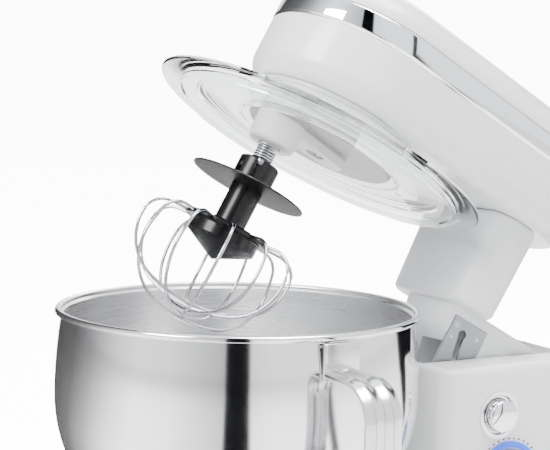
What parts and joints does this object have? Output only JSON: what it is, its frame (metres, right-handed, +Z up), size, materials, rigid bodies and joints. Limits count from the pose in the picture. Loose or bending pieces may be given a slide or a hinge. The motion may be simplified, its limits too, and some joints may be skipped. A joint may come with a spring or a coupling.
{
  "type": "stand mixer",
  "caption": "Tilt-head kitchen stand mixer with a steel bowl, wire whisk, planetary drive and clear splash guard, head raised.",
  "frame": {"origin": "on the counter, under the bowl's upright axis", "axes": "+Z up, the nose of the head points to -Y and the column is at +Y, the controls are on the +X side"},
  "size_m": [0.2805, 0.3903, 0.4051],
  "materials": {
    "white_gloss": "gloss white moulded plastic",
    "chrome": "mirror chrome",
    "grey_plastic": "light grey satin plastic",
    "boss_white": "off-white satin plastic",
    "carrier_grey": "satin grey casting",
    "black_plastic": "black satin plastic",
    "rubber": "black rubber",
    "bowl_steel": "polished outside, brushed inside",
    "bright_steel": "bright steel",
    "steel": "plain steel",
    "brass": "sintered bronze",
    "copper": "wound copper and laminated iron",
    "blue_light": "blue light guide",
    "tick_ink": "raised dark dots",
    "board_green": "green circuit board",
    "clear": "clear moulded plastic"
  },
  "bodies": {
    "base": {"base_housing": "white_gloss", "bottom_cover": "black_plastic", "rubber_feet": "rubber", "bottom_screws": "steel", "bowl_seat": "grey_plastic", "seat_screws": "steel", "dial_light_ring": "blue_light", "dial_tick_ring": "tick_ink", "button_bezel": "grey_plastic", "speed_switch": "black_plastic", "circuit_board": "board_green", "board_screws": "steel", "hinge_pin": "steel", "hinge_pin_clips": "steel", "cord_inlet": "black_plastic", "head_bumper": "rubber", "button_spring": "steel"},
    "dial": {"speed_dial": "bright_steel"},
    "release": {"release_button": "chrome", "latch_plate": "steel"},
    "head": {"head_shell": "white_gloss", "chrome_band": "chrome", "top_cover": "white_gloss", "neck": "grey_plastic", "hinge_bushes": "brass", "lock_plate": "steel", "lock_plate_screws": "bright_steel", "lock_plate_rivets": "bright_steel", "gearbox_frame": "carrier_grey", "ring_gear": "steel", "guard_mount_ring": "grey_plastic", "main_bearings": "steel", "counter_bushes": "brass", "motor_housing": "carrier_grey", "motor_bearings": "steel", "motor_screws": "steel", "drive_belt": "rubber", "neck_screws": "steel"},
    "rotor": {"motor_rotor": "copper", "motor_pulley": "steel", "cooling_fan": "black_plastic"},
    "counter": {"driven_pulley": "grey_plastic", "countershaft": "steel"},
    "planetary": {"main_shaft": "steel", "main_gear": "boss_white", "planet_carrier": "carrier_grey", "carrier_arm": "boss_white", "arm_screw": "bright_steel"},
    "output": {"output_shaft": "steel", "planet_gear": "steel", "cross_pin": "bright_steel", "spring_washer": "bright_steel", "shaft_spring": "bright_steel"},
    "whisk": {"whisk_stem": "black_plastic", "splash_disc": "black_plastic", "whisk_hub": "black_plastic", "whisk_wires": "bright_steel"},
    "bowl": {"bowl": "bowl_steel", "bowl_handle": "bowl_steel"},
    "guard": {"splash_guard": "clear"}
  },
  "joints": [
    {"name": "head_tilt", "type": "hinge", "parent": "base", "child": "head", "pos_m": [0, 0.216, 0.136], "axis": [1, 0, 0], "range_deg": [0, 29]},
    {"name": "release_push", "type": "slide", "parent": "base", "child": "release", "axis": [-1, 0, 0], "range_m": [0, 0.006], "stiffness_N_per_m": 600, "springref_m": -0.002, "deforming": ["button_spring"]},
    {"name": "dial_turn", "type": "hinge", "parent": "base", "child": "dial", "pos_m": [0.058, 0.178, 0.07], "axis": [1, 0, 0], "range_deg": [-30, 180]},
    {"name": "planetary_spin", "type": "hinge", "parent": "head", "child": "planetary", "pos_m": [0, 0.06684, 0.31244], "axis": [0, 0.4848, 0.8746], "continuous": true},
    {"name": "counter_spin", "type": "hinge", "parent": "head", "child": "counter", "pos_m": [0, 0.10619, 0.29062], "axis": [0, 0.4848, 0.8746], "continuous": true},
    {"name": "motor_spin", "type": "hinge", "parent": "head", "child": "rotor", "pos_m": [0, 0.18054, 0.24941], "axis": [0, 0.4848, 0.8746], "continuous": true},
    {"name": "output_spin", "type": "hinge", "parent": "planetary", "child": "output", "pos_m": [0.00549, 0.03652, 0.32925], "axis": [0, 0.4848, 0.8746], "continuous": true},
    {"name": "whisk_push", "type": "slide", "parent": "output", "child": "whisk", "axis": [0, 0.4848, 0.8746], "range_m": [0, 0.005], "stiffness_N_per_m": 800, "springref_m": -0.008, "deforming": ["shaft_spring"]},
    {"name": "bowl_twist", "type": "hinge", "parent": "base", "child": "bowl", "pos_m": [0, 0, 0.04], "axis": [0, 0, 1], "range_deg": [0, 20]},
    {"name": "guard_twist", "type": "hinge", "parent": "head", "child": "guard", "pos_m": [0, 0.06684, 0.31244], "axis": [0, 0.4848, 0.8746], "range_deg": [-15, 0]}
  ],
  "couplings": [
    {"joint": "counter_spin", "follows": "planetary_spin", "ratio": -4},
    {"joint": "motor_spin", "follows": "planetary_spin", "ratio": -17.143},
    {"joint": "output_spin", "follows": "planetary_spin", "ratio": -4.5455}
  ]
}
